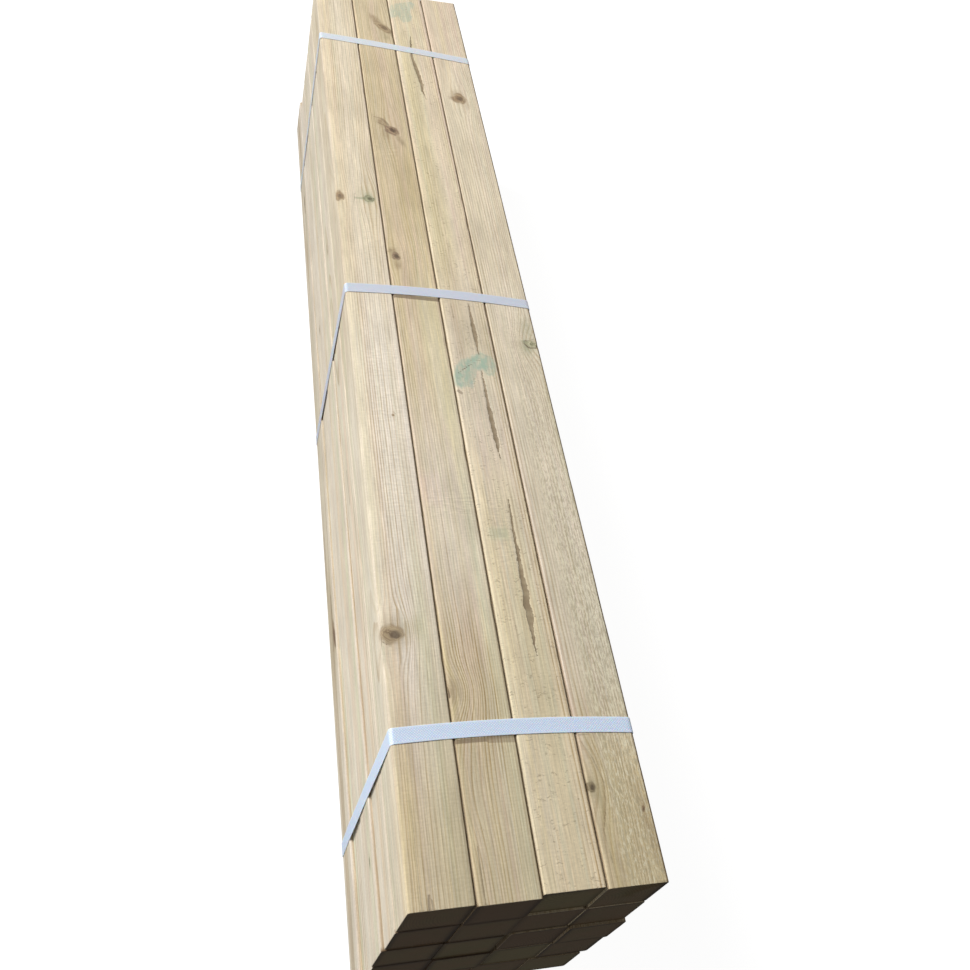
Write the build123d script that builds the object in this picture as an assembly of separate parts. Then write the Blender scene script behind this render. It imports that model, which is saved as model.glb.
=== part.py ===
from build123d import *
import math
import os

# A bundle of square softwood fence posts, stacked in rows and held by three flat plastic straps.
# It lies on a level floor. X runs across the bundle, Y along the posts from their near end to
# their far end, and Z up. The origin is on the floor, under the middle of the bundle.
# Row 1 is the top row, and column 1 is on the left seen from the near end. All sizes are in mm.

# Posts
post_length = 1800.0
post_width = 73.0
post_height = 75.0
arris_radius = 3.5
cut_skew = 1.3
rows = 5
columns = 4
column_gap = 0.3

# How far each post stands out at the near end, row by row from the top left, read by eye
end_steps = (
    1.0, 0.8, -4.8, -4.3,
    1.5, 0.8, -2.5, -3.5,
    3.0, 1.5, -1.0, -0.5,
    3.5, 3.5, -0.5, -1.5,
    2.0, 1.0, 0.5, 0.0,
)

# The left post of the bottom row is longer than the rest, and stands out at the far end
long_post = (rows, 1)
long_post_surplus = 43.0

# In two rows the posts have bowed apart: each half of the row swings out at the near end
third_row_spread = 3.6
fourth_row_spread = 1.8
near_end_spread = {3: third_row_spread, 4: fourth_row_spread}

# The bottom row lies askew: all of it swings to the left at the near end
bottom_row_shift = 6.5

# Straps
strap_width = 19.0
strap_thickness = 0.8
strap_side_clearance = 0.05
weld_length = 45.0
near_strap_inset = 186.4
middle_strap_shift = 5.2
far_strap_inset = 201.7

# How askew each strap lies, in degrees: swing is seen from above, lean is seen from the side
near_strap_swing, near_strap_lean = 0.1, -1.0
middle_strap_swing, middle_strap_lean = -1.7, -0.2
far_strap_swing, far_strap_lean = -4.0, 2.0

column_pitch = post_width + column_gap
stack_width = columns * post_width + (columns - 1) * column_gap
stack_height = rows * post_height
stack_bottom = strap_thickness
stack_top = stack_bottom + stack_height
stack_middle = stack_bottom + stack_height / 2


def row_bottom(row):
    """Height of the underside of a row. Each row rests on the one below."""
    return stack_bottom + (rows - row) * post_height


def swung_right(row, side):
    """How far a half row stands to the right at its near end. Side is -1 for left, 1 for right."""
    shift = -bottom_row_shift if row == rows else 0.0
    return shift + side * near_end_spread.get(row, 0.0)


def row_side(row, side, station):
    """Where a row's left or right side is across the bundle, at a distance from the near end."""
    return side * stack_width / 2 + swung_right(row, side) * (1 - station / post_length)


def plain_post(surplus):
    """One post with rounded arrises and both ends sawn a little askew.

    It reaches from its near end, one post length in front of the origin, to its surplus behind."""
    with BuildSketch(Plane.XZ) as section:
        RectangleRounded(post_width, post_height, arris_radius, align=(Align.CENTER, Align.MIN))
    length = post_length + surplus
    uncut = extrude(section.sketch, amount=length + post_width, dir=(0, -1, 0), both=True)
    between_cuts = Box(length, length * math.cos(math.radians(cut_skew)), length)
    return uncut & (Location((0, surplus - length / 2, 0), (0, 0, cut_skew)) * between_cuts)


def make_post(row, column):
    """One post in its row, swung about its far end and pushed forwards by its own step."""
    step = end_steps[((row - 1) * columns + column - 1) % len(end_steps)]
    across = (column - (columns + 1) / 2) * column_pitch
    side = math.copysign(1, across) if across else 0
    turn = math.degrees(math.atan2(swung_right(row, side), post_length))
    place = Location((across, post_length - step, row_bottom(row)), (0, 0, turn))
    return place * plain_post(long_post_surplus if (row, column) == long_post else 0.0)


def bends_left(start, corner, end):
    """True where the way from start through corner to end bends to the left."""
    first = (corner[0] - start[0], corner[1] - start[1])
    second = (end[0] - corner[0], end[1] - corner[1])
    return first[0] * second[1] - first[1] * second[0] > 0


def pulled_tight(points):
    """The corners that a band touches when it is pulled tight round the points."""
    chains = []
    for ordered in (sorted(points), sorted(points, reverse=True)):
        chain = []
        for point in ordered:
            while len(chain) > 1 and not bends_left(chain[-2], chain[-1], point):
                chain.pop()
            chain.append(point)
        chains.append(chain[:-1])
    return chains[0] + chains[1]


def stack_outline(first, last):
    """What a strap between these distances from the near end goes round, as a filled face."""
    corners = set()
    for row in range(1, rows + 1):
        for side in (-1, 1):
            for station in (first, last):
                edge = row_side(row, side, station) + side * strap_side_clearance
                corners.update([(edge, row_bottom(row)), (edge, row_bottom(row) + post_height)])
    with BuildSketch(Plane.XZ) as outline:
        Polygon(*pulled_tight(corners), align=None)
        levels = outline.vertices().group_by(Axis.Z)
        fillet(levels[0] + levels[-1], arris_radius)
    return outline.sketch


def make_strap(station, swing, lean):
    """A closed band round the stack, with its two ends lapped and welded on the right side."""
    askew = stack_width / 2 * abs(math.sin(math.radians(swing)))
    askew += stack_height * abs(math.sin(math.radians(lean)))
    edge = strap_width / 2 + askew
    inside = stack_outline(station - edge, station + edge)
    outside = offset(inside, strap_thickness, kind=Kind.INTERSECTION)
    lapped = offset(outside, strap_thickness, kind=Kind.INTERSECTION)
    reach = 2 * (stack_width + stack_height)
    weld_zone = Pos(reach / 2, 0, stack_middle) * Box(reach, reach, weld_length)
    band = extrude(outside - inside, amount=edge, both=True)
    lap = extrude(lapped - outside, amount=edge, both=True) & weld_zone
    slab = Location((0, station, stack_top), (lean, 0, swing)) * Box(reach, strap_width, reach)
    return (Pos(0, station, 0) * (band + lap)) & slab


def make_bundle():
    """Every piece by its node name, before the bundle is centred on the origin."""
    pieces = {}
    for row in range(1, rows + 1):
        for column in range(1, columns + 1):
            pieces[f"post_row{row}_col{column}"] = make_post(row, column)
    near, middle, far = near_strap_inset, post_length / 2 + middle_strap_shift, post_length - far_strap_inset
    pieces["strap_near"] = make_strap(near, near_strap_swing, near_strap_lean)
    pieces["strap_middle"] = make_strap(middle, middle_strap_swing, middle_strap_lean)
    pieces["strap_far"] = make_strap(far, far_strap_swing, far_strap_lean)
    return pieces


os.makedirs("parts", exist_ok=True)
bundle = make_bundle()
middle = Compound(list(bundle.values())).bounding_box().center()
for name, piece in bundle.items():
    export_step(Pos(-middle.X, -middle.Y, 0) * piece, f"parts/{name}.step")
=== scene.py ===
import math

import bpy
import numpy as np
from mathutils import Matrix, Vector


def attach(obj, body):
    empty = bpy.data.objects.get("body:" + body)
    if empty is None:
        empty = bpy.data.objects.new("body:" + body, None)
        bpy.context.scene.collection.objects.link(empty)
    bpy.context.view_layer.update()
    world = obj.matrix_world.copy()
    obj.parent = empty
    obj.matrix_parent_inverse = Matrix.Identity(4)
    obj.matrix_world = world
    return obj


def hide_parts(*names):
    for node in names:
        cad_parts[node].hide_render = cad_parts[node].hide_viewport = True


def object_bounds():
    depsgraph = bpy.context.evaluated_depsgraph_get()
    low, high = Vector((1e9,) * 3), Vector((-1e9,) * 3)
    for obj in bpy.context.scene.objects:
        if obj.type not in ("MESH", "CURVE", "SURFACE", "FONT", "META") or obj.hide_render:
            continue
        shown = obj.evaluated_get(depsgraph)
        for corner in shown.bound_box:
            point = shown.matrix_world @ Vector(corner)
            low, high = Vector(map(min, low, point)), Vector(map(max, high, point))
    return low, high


# A bundle of twenty square softwood fence posts, five rows of four, held by three flat plastic
# straps. The posts are pale, planed, pressure-treated pine with knots, stains and sawn ends.
# Lengths are in metres. The places of features are in millimetres, turned into metres on use.

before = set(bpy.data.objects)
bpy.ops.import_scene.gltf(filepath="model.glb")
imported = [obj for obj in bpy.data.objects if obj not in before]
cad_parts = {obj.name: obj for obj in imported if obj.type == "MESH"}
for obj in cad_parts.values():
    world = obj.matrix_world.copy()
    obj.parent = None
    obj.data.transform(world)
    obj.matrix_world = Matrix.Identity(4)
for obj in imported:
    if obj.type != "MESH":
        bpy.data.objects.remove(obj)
cad_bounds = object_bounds()

MM = 0.001
ROWS, COLUMNS = 5, 4
POSTS = [(row, column) for row in range(1, ROWS + 1) for column in range(1, COLUMNS + 1)]
STRAPS = ("strap_near", "strap_middle", "strap_far")
FACES = ("top", "left", "right", "bottom")

# Distances along the bundle start a little behind the foremost post
FOREMOST_POST = 4.32 * MM
BUNDLE_START = cad_bounds[0].y + FOREMOST_POST

# Camera, matched to the photograph's viewing angle: in front of the bundle's start, to its left
CAMERA_PLACE = (-0.36391, BUNDLE_START - 0.25701, 1.44101)
CAMERA_TURN = (37.6605, -13.5882, -8.7547)
CAMERA_LENS = 37.816
CAMERA_SENSOR = 36.0
VIEW_DISTANCE = 50.0

# Post surfaces
POST_LENGTH = 1.8
ARRIS_RADIUS = 3.6 * MM
ARC_STEPS = 6
END_CHAMFER = 0.4 * MM
END_PULL = 0.8
END_RINGS = (0.6 * MM, 3 * MM, 8 * MM, 15 * MM, 24 * MM)
SHARP_ANGLE = 38


def smoothstep(low, high, value):
    """0 below low, 1 above high, and a smooth rise between."""
    t = np.clip((value - low) / (high - low), 0.0, 1.0)
    return t * t * (3 - 2 * t)


def within(low, high, soft, value):
    """1 between low and high, 0 beyond them, and soft at both."""
    return smoothstep(low - soft, low + soft, value) * (1 - smoothstep(high - soft, high + soft, value))


def hashed(x, y, seed):
    """A random number from 0 to 1 for each whole-number place, the same on every run."""
    mixed = np.sin(x * 127.1 + y * 311.7 + seed * 74.7) * 43758.5453
    return mixed - np.floor(mixed)


def noise(x, y, seed):
    """Smooth random values from 0 to 1 over a plane, with hills about one unit apart."""
    x0, y0 = np.floor(x), np.floor(y)
    tx, ty = smoothstep(0, 1, x - x0), smoothstep(0, 1, y - y0)
    low = hashed(x0, y0, seed) * (1 - tx) + hashed(x0 + 1, y0, seed) * tx
    high = hashed(x0, y0 + 1, seed) * (1 - tx) + hashed(x0 + 1, y0 + 1, seed) * tx
    return low * (1 - ty) + high * ty


# What the photograph shows on each post. On a face, "across" is from its middle, to the right on
# the top and upwards on the left side, and "along" is from the start of the bundle. All in mm.


def knot(across, along, wide, long, lean=0, bend=(1.6, 4), dark=0.5, red=0.3, green=0, tails=(0, 0),
         heart=0.7):
    """A knot: half its width and length, and how far from it, in knot sizes, the grain swings round.

    Its tails run across the grain to either side, in knot sizes too."""
    return {"across": across, "along": along, "wide": wide, "long": long, "lean": math.radians(lean),
            "bend": (bend[0] * wide, bend[1] * long), "look": (dark, red, green), "more": (*tails, heart)}


def band(low, high, start=-200, stop=1950, soft=3, fade=60, light=0, pink=0, green=0, lines=0, fuzz=0,
         yellow=0, slant=0):
    """A band of wood between two sides and two ends, and how it differs from the rest: its tone, and in a
    few marked bands also painted light.

    Its edges are soft, and its ends fade. It may slant: so far to the right for its whole length."""
    return {"sides": (low, high), "ends": (start, stop), "soft": soft, "fade": fade, "slant": slant,
            "tone": (light, pink, green), "zone": (lines, fuzz, yellow)}


def chatter(low, high, start, stop, share):
    """A stretch where the planer's cutters have left pale marks across the grain."""
    return {**band(low, high, start, stop, soft=6, fade=25), "share": share}


def smudge(across, along, wide, long, brown, green=0, lean=0):
    """A soft dark patch: half its width and length, and how brown and how green it is."""
    return {"across": across, "along": along, "wide": wide, "long": long, "lean": math.radians(lean),
            "shades": (brown, green)}


def swerve(across, along, shift, wide, long):
    """A place where the grain swerves to one side, and how wide and long the swerve is."""
    return {"across": across, "along": along, "shift": shift, "wide": wide, "long": long}


def dark_line(across, along, to_across, to_along, half, dark):
    """A thin dark line between two places on a face."""
    return {"start": (across, along), "stop": (to_across, to_along), "half": half, "dark": dark}


def stain(outline, most):
    """A green copper stain inside an outline, no deeper than most anywhere."""
    return {"outline": outline, "most": most}


WINGED_STAIN = [
    (-37, 740), (-30, 760), (-20, 772), (-7, 778), (3, 785), (13, 789), (27, 782), (35, 768), (32, 754),
    (27, 743), (17, 741), (11, 754), (2, 750), (-5, 727), (-10, 717), (-20, 719), (-28, 714), (-37, 722),
]
FAR_STAIN = [
    (-37, 1710), (-37, 1740), (-31, 1758), (-19, 1769), (-2, 1777), (13, 1786), (21, 1775), (13, 1757),
    (6, 1745), (11, 1725), (3, 1705), (-12, 1700), (-19, 1720), (-27, 1715),
]

LOOKS = {}
LOOKS[1, 1, "top"] = dict(
    pith=(72, 8), drift=(14, 4), spacing=3.5,
    knots=[
        knot(-22, 315.5, 12.5, 13.5, lean=8, bend=(1.35, 3), dark=0.38, red=0.1, green=0.1,
             tails=(1.6, 0), heart=0.85),
        knot(-31, 1130, 7, 13, dark=0.45, red=0.2, heart=0.5),
        knot(18.5, 1128, 7, 8.5, bend=(1.7, 6), dark=0.6, red=0.1, green=1, tails=(3.6, 1.6), heart=0.6),
        knot(13.3, 658, 1.8, 2.2, bend=(1.5, 3), dark=0.3, red=0, heart=0.3),
    ],
    smudges=[
        smudge(-15, 320, 18, 25, 0.34, lean=25), smudge(-35, 294, 3, 20, 0.1, green=0.5),
        smudge(14, 1136, 16, 22, 0, green=0.35),
    ],
    bands=[
        # Partly painted light, partly the wood's tone: this whole-width band and the one from 250 to 900 mm
        # make the top lighter in its middle than near the bundle's start, for how the light falls along it
        band(-50, 50, 150, 1950, 3, 100, light=0.05, yellow=-0.2),
        band(-12, 14, 150, 1950, 6, 100, light=0.04, yellow=-0.15),
        band(-50, -18, -200, 1950, 4, light=0.04, yellow=0.35, lines=-0.15),
        band(-18, 7, -200, 1000, 3, 200, lines=0.45),
        band(7, 50, -200, 420, 9, 220, light=-0.05, green=0.2, lines=-0.1),
        band(-4, 50, 430, 1080, 9, 160, light=0.03, lines=-0.15),
        band(-50, 50, 250, 900, 3, 160, light=0.12, yellow=-0.3),
        band(-50, -19, 350, 900, 3, 160, light=0.06, yellow=0.4, green=0.3),
        band(-34.5, -20.5, 0, 150, light=-0.02, pink=0.55, yellow=0.3),
        band(-27, -13.5, 60, 300, 3, 70, light=-0.03, pink=0.35, yellow=0.3),
        band(-10, 16, 312, 336, 6, 14, light=-0.1, green=0.3),
        band(-14, 2, 245, 300, 4, 20, light=0.05, lines=-0.2),
        band(-30, 12, 1290, 1950, 8, 120, pink=0.25, lines=0.1),
    ],
    dark_lines=[
        dark_line(-37, 309, -29, 302, 0.7, 0.65), dark_line(-37, 296, -34.5, 312, 0.8, 0.45),
        dark_line(-13, 0, -12, 14, 1.3, 0.55), dark_line(-9.5, 0, -9, 8, 0.9, 0.4),
        dark_line(-21, 0, -20.4, 120, 0.5, 0.3),
    ],
    chatter=[chatter(-14, 34, 470, 800, 0.4), chatter(0, 34, 960, 1080, 0.3)],
)
LOOKS[1, 1, "left"] = dict(
    bands=[
        band(-50, 50, light=0.06, yellow=-0.4), band(-50, 50, 100, 760, 3, 120, light=0.05, yellow=-0.4),
        band(16, 40, -200, 700, 3, 120, light=0.02, yellow=0.4),
        band(-6, 8, 100, 1300, 4, 160, pink=0.6, light=-0.02),
        band(-30, -18, -200, 1000, 4, 160, green=0.4), band(20, 30, 700, 1950, 4, 160, pink=0.5),
    ],
)
LOOKS[1, 2, "top"] = dict(
    pith=(-74, 18), drift=(-8, 6), spacing=3.5,
    knots=[
        knot(-23.5, 992, 6.4, 9.5, lean=12, bend=(1.7, 4.2), dark=0.62, red=0.75, green=0.1, heart=1),
        knot(3, 1328, 8.4, 15, lean=24, bend=(1.7, 4), dark=0.52, red=0.8, tails=(1.9, 1.3), heart=0.9),
        knot(18, 1669, 8.5, 22, lean=28, bend=(1.4, 3), dark=0.45, red=0.2, green=0.1,
             tails=(0.9, 0.9), heart=0.4),
    ],
    bands=[
        band(-50, -28, -200, 600, 3, 140, pink=0.3, yellow=0.5, lines=-0.2),
        band(12, 50, -200, 430, 4, light=0.05, yellow=0.3), band(0, 50, 1060, 1270, 5, 50, light=-0.07),
        band(-28, 16, -200, 440, 4, lines=0.1), band(-36, 24, 150, 330, 6, 50, lines=1.1),
        band(-28, 16, 440, 900, 3, 120, lines=-0.25),
        band(14, 50, -200, 520, 6, 160, light=0.03, green=0.3, lines=-0.05),
        # Partly painted light, partly the wood's tone: the next two whole-width bands darken the near
        # stretch and lighten the middle, for how the light falls along the bundle
        band(-50, 50, -200, 300, 3, 80, light=-0.05),
        band(-50, 50, 330, 660, 3, 110, light=0.08, yellow=-0.4),
        band(-12, 12, 262, 395, 6, 40, pink=0.5, light=-0.04),
        band(3.5, 33.5, 640, 930, 5, slant=-12, yellow=0.5, green=0.3, lines=-0.4, light=0.04),
        band(14, 34, 520, 700, 5, slant=-6, yellow=0.3, green=0.2, lines=-0.3),
        band(-31, -3, 508, 556, 7, 14, pink=0.95, light=0.02),
        band(-50, 50, 880, 1500, 6, 160, light=-0.09, pink=0.3),
        band(10, 50, 930, 1120, 6, 50, light=0.08, yellow=0.3),
        band(-50, 50, 1480, 1950, 6, 120, light=-0.04, pink=0.2),
    ],
    swerves=[swerve(-38, 238, 19, 34, 30), swerve(-40, 120, -11, 30, 60), swerve(-38, 300, 5, 34, 60)],
    smudges=[
        smudge(-29, 240, 12, 17, 0.5, lean=-10), smudge(-13, 1347, 9, 18, 0.85, lean=20),
        smudge(-8, 1312, 8, 15, 0.6), smudge(15, 1302, 6, 24, 0.65, green=0.1, lean=22),
        smudge(-28, 1004, 7, 9, 0.85), smudge(-22, 972, 6, 13, 0.75), smudge(5, 1695, 9, 24, 0.85, lean=30),
        smudge(26, 1662, 6, 24, 0.6, lean=20), smudge(20, 1636, 8, 18, 0.4, green=0.2, lean=12),
    ],
    dark_lines=[
        # Painted shadow: the lines at about 177 and 898 mm stand for the shade beside the near and middle
        # straps, where they bridge this lower post
        dark_line(-27.1, 0, -27.3, 60, 0.7, 0.5), dark_line(-35, 177.5, 36, 178.5, 2.6, 0.65),
        dark_line(4, 176.5, 36, 175, 3, 0.45), dark_line(-36, 900.5, 36, 896, 3.8, 0.7),
        dark_line(-37, 246, -35, 232, 1.2, 0.8), dark_line(-30, 498, -14, 499.5, 0.6, 0.4),
        dark_line(12, 494, 24, 494, 0.6, 0.35), dark_line(-22, 506, 2, 507.5, 0.5, 0.25),
        dark_line(-26, 1364, -12, 1360, 1.6, 0.4), dark_line(-12, 1360, -2, 1343, 2.4, 0.5),
        dark_line(-20, 1347, -9, 1340, 1.6, 0.4),
    ],
    chatter=[chatter(-28, 36, 496, 520, 1), chatter(-30, 10, 1240, 1290, 0.6)],
)
LOOKS[1, 3, "top"] = dict(
    pith=(10, 39), drift=(-8, 0), spacing=4.6, dashes=1,
    bands=[
        band(-50, -24, -200, 1950, 4, light=0.06, yellow=0.25, lines=-0.3),
        # Partly painted light, partly the wood's tone: the next two whole-width bands lighten the stretch
        # up to 900 mm, for how the light falls along the bundle
        band(-50, 50, -200, 660, 3, 110, light=0.12),
        band(-50, 50, 420, 900, 3, 110, light=0.02, yellow=-0.4),
        band(27, 50, -200, 1950, 4, pink=0.1, lines=0.4),
        band(-50, 50, -200, 600, 3, 100, light=0.01, yellow=0.5), band(0, 50, 860, 1560, 9, light=0.06),
        band(-50, 50, 1560, 1950, light=0.05),
        band(-24, 27, 150, 560, 6, 120, light=-0.06, green=0.1, lines=-0.3),
        band(-22, 20, -200, 190, 6, pink=0.15, light=-0.03, lines=-0.5),
        band(-24, 27, 560, 1950, 6, lines=-0.3), band(-24, 30, 560, 720, 6, 50, pink=0.25),
        band(-24, 30, 790, 900, 6, 20, light=-0.05, pink=0.15), band(-26, -12, 745, 900, 4, 50, pink=0.7),
        band(-16, 4, 738, 764, 5, 8, pink=1, light=-0.04),
        band(10, 34, 1000, 1640, 6, 100, light=0.03, pink=0.2),
        band(-30, 4, 1000, 1640, 6, 100, yellow=0.4, green=0.2),
        band(5, 20, 1690, 1750, 6, 20, light=0.05, yellow=0.4),
        band(-26, 1, 452, 470, 4, 6, green=0.8, light=-0.04),
    ],
    dark_lines=[
        dark_line(-27, 746, -3.5, 765.5, 0.9, 0.75), dark_line(-32, 710, -28, 706, 2.6, 0.5),
        dark_line(-20, 893, -19, 860, 0.8, 0.35),
    ],
    chatter=[chatter(-20, 10, 400, 520, 0.5)],
    stains=[stain(WINGED_STAIN, 6), stain(FAR_STAIN, 1.6)],
    streaks=(
        ((9.5, 889, 0.4), (9, 868, 2), (9.5, 850, 2.6), (10, 832, 3.6), (10, 812, 3), (9.5, 800, 1.4),
         (10, 787, 0.5)),
        ((9, 750, 0.4), (9.5, 735, 1.2), (9, 700, 2.2), (10, 662, 3.4), (10.5, 636, 3.4), (11.5, 612, 2.6),
         (11, 600, 1.1), (12.5, 583, 0.4)),
        ((11, 517, 0.4), (11.5, 500, 1), (9.5, 470, 1.6), (10, 430, 2.2), (9, 398, 3), (10, 370, 4.2),
         (8.5, 352, 4.6), (9.5, 334, 4.8), (8, 322, 2.8), (8.5, 306, 1.9), (8.3, 285, 0.5)),
        ((-1.5, 1652, 0.4), (-3, 1625, 1.6), (-6.5, 1580, 2.6), (-3, 1545, 3.4), (0.5, 1515, 3.6),
         (3, 1480, 3), (1.5, 1468, 2), (6, 1440, 0.4)),
    ),
)
LOOKS[1, 4, "top"] = dict(
    pith=(-90, -30), drift=(-10, 10), spacing=3.4, dashes=0.25, rough=1,
    knots=[
        knot(-31, 116, 4.5, 7, bend=(3.2, 6.5), dark=0.85, red=0.1, green=0.35,
             tails=(0.6, 1.6), heart=0.9),
        knot(26, 86, 1.6, 4, lean=-12, bend=(1.8, 4), dark=0.8, red=0.1, heart=0.8),
        knot(26.5, 813, 9.5, 8, lean=-24, bend=(1.8, 8), dark=0.3, red=0, green=0.9,
             tails=(2.2, 0.6), heart=0),
        knot(-1.5, 1456, 11, 16, lean=10, bend=(1.6, 3.2), dark=0.46, red=0.2, tails=(1.9, 0.9)),
    ],
    bands=[
        band(-14, 50, -200, 780, 8, 330, fuzz=1, lines=-0.1, light=0.05),
        band(-50, 50, 860, 1950, light=0.07, yellow=-0.3), band(12, 50, 120, 620, 6, light=0.05),
        # Partly painted light, partly the wood's tone: this whole-width band lightens the middle, and the
        # one from the start to 180 mm darkens the near stretch, for how the light falls along the bundle
        band(-50, 50, 220, 900, 3, 110, light=0.07, yellow=-0.4),
        band(-10, 50, 1000, 1950, 7, 250, fuzz=0.2, light=0.02),
        band(-50, -26, -200, 700, 4, 200, pink=0.5, light=0.04),
        band(-50, 50, -200, 180, 4, 80, light=-0.09, yellow=0.55), band(14, 36, 180, 420, 6, green=0.4),
        band(28, 50, 480, 760, 5, green=0.5, light=-0.04),
        band(-50, 50, 1500, 1950, 6, 120, pink=0.35, yellow=0.3, light=0.01),
    ],
    swerves=[swerve(-34, 128, 12, 26, 42), swerve(30, 813, -9, 30, 36)],
    smudges=[
        smudge(18, 806, 13, 20, 0.12, green=0.58, lean=-10), smudge(24, 846, 9, 26, 0, green=0.42),
        smudge(2, 812, 10, 8, 0.22), smudge(-6, 1462, 17, 20, 0.42, lean=-20),
        smudge(12, 1440, 8, 22, 0.22, green=0.1), smudge(-27, 112, 8, 17, 0.25, green=0.2),
        smudge(28, 70, 9, 66, 0.4, lean=4), smudge(-16, 26, 9, 34, 0.3),
    ],
    dark_lines=[
        dark_line(-31.5, 170, -22, 150, 0.8, 0.3), dark_line(-22, 150, -14, 118, 0.9, 0.35),
        dark_line(-14, 118, -20, 88, 0.9, 0.35), dark_line(-20, 88, -27, 66, 0.9, 0.4),
        dark_line(-27, 66, -25, 30, 0.8, 0.3), dark_line(14, 814, 20, 805, 1.2, 0.7),
        dark_line(20, 805, 31, 804, 1.2, 0.8), dark_line(31, 804, 35.5, 812, 1.1, 0.8),
        dark_line(16, 820, 30, 823, 1, 0.6), dark_line(2, 812, 14, 814, 0.9, 0.35),
        # Painted shadow: the last line stands for the shade beside the near strap
        dark_line(-35, 178.5, -20, 178, 0.9, 0.35),
    ],
)
LOOKS[2, 1, "left"] = dict(
    knots=[knot(-11, 1136, 3, 12)],
    bands=[
        band(-50, 50, light=0.1, yellow=-0.65), band(24, 40, light=0.06, yellow=0.2),
        band(-2, 14, -200, 900, 5, 200, yellow=0.7, light=0.02), band(-24, -8, -200, 600, 5, 200, pink=0.7),
        band(-26, -4, 600, 1950, 5, 200, green=0.4), band(2, 18, 800, 1950, 5, 200, pink=0.4),
    ],
    dark_lines=[dark_line(-6, 590, -9, 650, 3, 0.3)],
)
LOOKS[3, 1, "left"] = dict(
    knots=[knot(8.5, 104, 2.5, 9, red=0.1, green=0.9)],
    bands=[
        band(-50, 50, light=0.14, yellow=-0.65), band(26, 40, light=0.06),
        band(6, 24, -200, 1100, 5, 200, green=0.7, light=0.02),
        band(-14, 2, -200, 700, 5, 200, pink=0.5, yellow=0.3),
        band(-30, -14, 200, 1500, 5, 200, yellow=0.6), band(-4, 8, 1280, 1480, 4, green=1, light=-0.06),
    ],
)
LOOKS[4, 1, "left"] = dict(
    knots=[knot(0.4, 1079, 3, 13)],
    bands=[
        band(-50, 50, light=0.16, yellow=-0.75), band(24, 40, light=0.06),
        band(-40, -20, -200, 330, 4, 80, green=1, light=0.04),
        band(-40, -18, 250, 450, 4, 50, green=0.6, pink=-0.6, light=0.02),
        band(-16, 8, -200, 1950, 6, light=0.05, yellow=0.3), band(6, 18, 300, 1200, 5, 200, pink=0.5),
    ],
)
LOOKS[5, 1, "left"] = dict(
    knots=[
        knot(17, 487, 9, 24, lean=12, bend=(1.6, 3), dark=0.9, red=0.5),
        knot(6, 1520, 5, 30, bend=(1.6, 3), dark=0.8),
    ],
    bands=[
        band(-50, 50, pink=0.6, light=0.06, yellow=-0.75),
        band(-50, 30, 400, 620, 6, light=-0.13, pink=0.5), band(22, 40, -200, 1950, 4, light=0.08),
        band(-16, 4, 620, 1300, 6, 160, light=-0.06),
    ],
    smudges=[smudge(2, 500, 16, 90, 0.45), smudge(-22, 640, 10, 90, 0.6)],
    dark_lines=[dark_line(10, 560, 4, 470, 3.5, 0.45)],
)


def plain_look(row, column):
    """Seeded features for a post, or for those of its faces that the photograph doesn't show."""
    rng = np.random.default_rng(100 * row + column)

    def draw(low, high):
        return float(rng.uniform(low, high))

    look = dict(
        seed=10.0 * row + column, pith=(draw(-60, 60), draw(-80, 40)), drift=(draw(-16, 16), draw(-16, 16)),
        spacing=draw(2.6, 4.4), dashes=0.15, rough=0.0, streaks=(),
        **{key: [] for key in ("stains", "dark_lines", "chatter", "smudges", "swerves")},
    )
    look["knots"] = [
        {"face": FACES[int(rng.integers(4))], **knot(
            draw(-28, 28), draw(120, 1700), draw(5, 11), draw(7, 15), lean=draw(-25, 25),
            dark=draw(0.4, 0.8), red=draw(0.1, 0.8), heart=draw(0.3, 0.9),
            tails=(draw(0, 1.5), draw(0, 1.5)))}
        for _ in range(5)
    ]
    look["bands"] = [
        {"face": face, **band(
            low, low + wide, soft=6, light=draw(-0.05, 0.06), pink=draw(-0.2, 0.6), green=draw(-0.2, 0.5),
            yellow=draw(0, 0.6), lines=draw(-0.3, 0.4))}
        for face in FACES
        for low, wide in ((draw(-36, -10), draw(12, 30)), (draw(-6, 16), draw(10, 24)))
    ]
    return look


def look_of(row, column):
    """What a post looks like: its own features on the faces that show, and plain ones elsewhere."""
    plain, own = plain_look(row, column), {}
    for face in FACES:
        for key, value in LOOKS.get((row, column, face), {}).items():
            if isinstance(value, list):
                value = own.get(key, []) + [{"face": face, **feature} for feature in value]
            own[key] = value
    if own:
        shown = {item["face"] for item in own["bands"]}
        hidden = [k for k in plain["knots"] if k["face"] in ("right", "bottom")]
        own["knots"] = own.get("knots", []) + hidden
        own["bands"] = own["bands"] + [item for item in plain["bands"] if item["face"] not in shown]
    return {**plain, **own}


# Post meshes


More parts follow.
